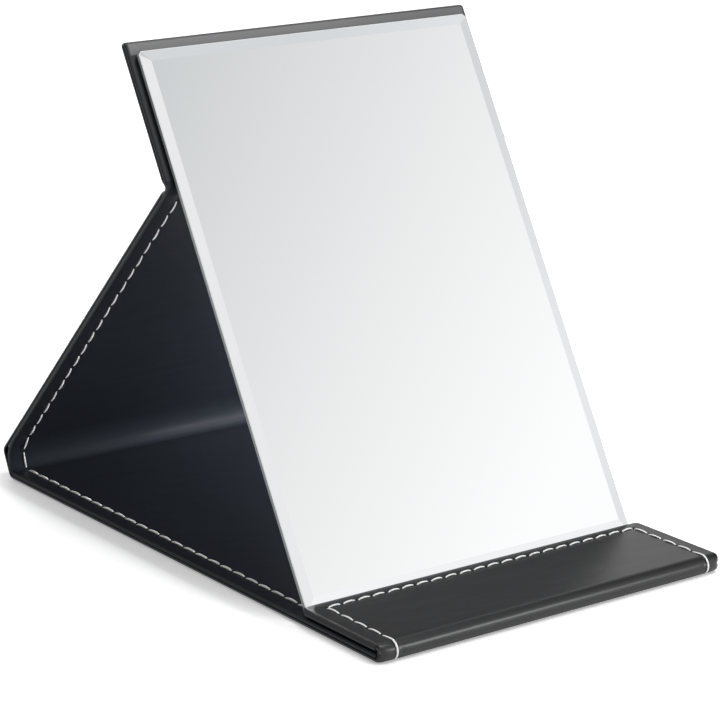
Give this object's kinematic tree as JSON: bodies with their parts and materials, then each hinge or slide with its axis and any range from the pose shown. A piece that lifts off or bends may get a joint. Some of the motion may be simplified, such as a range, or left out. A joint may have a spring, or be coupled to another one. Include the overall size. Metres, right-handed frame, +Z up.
{
  "type": "folding countertop mirror",
  "caption": "Bevelled rectangular mirror on a stitched leather case that folds into a triangular table stand, with a fold-back front flap as the foot stop.",
  "frame": {"origin": "on the table, under the middle of the whole mirror", "axes": "+Z up, +Y from the front flap to the rear spine, +X to the right of someone who looks into the glass"},
  "size_m": [0.1458, 0.2392, 0.1782],
  "materials": {
    "outer_leather": "black smooth coated leather, semi-gloss",
    "lining": "black smooth lining, satin",
    "board": "grey board, matt",
    "silvered_glass": "silvered float glass with a ground and polished bevel",
    "backing_card": "black card, matt",
    "keeper_steel": "plain steel",
    "magnet": "nickelled"
  },
  "bodies": {
    "base": {"base_outer_leather": "outer_leather", "base_board": "board", "base_lining": "lining", "front_fold_leather": "outer_leather", "spine_lower_leather": "outer_leather"},
    "spine": {"spine_outer_leather": "outer_leather", "spine_board": "board", "spine_lining": "lining", "spine_upper_leather": "outer_leather"},
    "support": {"support_outer_leather": "outer_leather", "support_board": "board", "support_lining": "lining", "top_hinge_leather": "outer_leather", "top_hinge_lining": "lining"},
    "mirror": {"mirror_glass": "silvered_glass", "glass_backing": "backing_card", "upper_outer_leather": "outer_leather", "upper_board": "board", "upper_lining": "lining", "keeper_plate_left": "keeper_steel", "keeper_plate_right": "keeper_steel"},
    "flap": {"flap_outer_leather": "outer_leather", "flap_board": "board", "flap_lining": "lining", "flap_magnet_left": "magnet", "flap_magnet_right": "magnet"}
  },
  "joints": [
    {"name": "spine_fold", "type": "hinge", "parent": "base", "child": "spine", "pos_m": [0, 0.11506, 0], "axis": [-1, 0, 0], "range_deg": [0, 64.5], "deforming": ["spine_lower_leather"]},
    {"name": "support_fold", "type": "hinge", "parent": "spine", "child": "support", "pos_m": [0, 0.12027, 0.01092], "axis": [-1, 0, 0], "range_deg": [0, 69.6], "deforming": ["spine_upper_leather"]},
    {"name": "mirror_fold", "type": "hinge", "parent": "support", "child": "mirror", "pos_m": [0, 0.00314, 0.13177], "axis": [1, 0, 0], "range_deg": [0, 73.6], "deforming": ["top_hinge_leather", "top_hinge_lining"]},
    {"name": "flap_fold", "type": "hinge", "parent": "base", "child": "flap", "pos_m": [0, -0.1209, 0.00335], "axis": [1, 0, 0], "range_deg": [0, 180], "deforming": ["front_fold_leather"]}
  ],
  "couplings": [
    {"joint": "mirror_fold", "follows": "support_fold", "ratio": 1.0575}
  ]
}
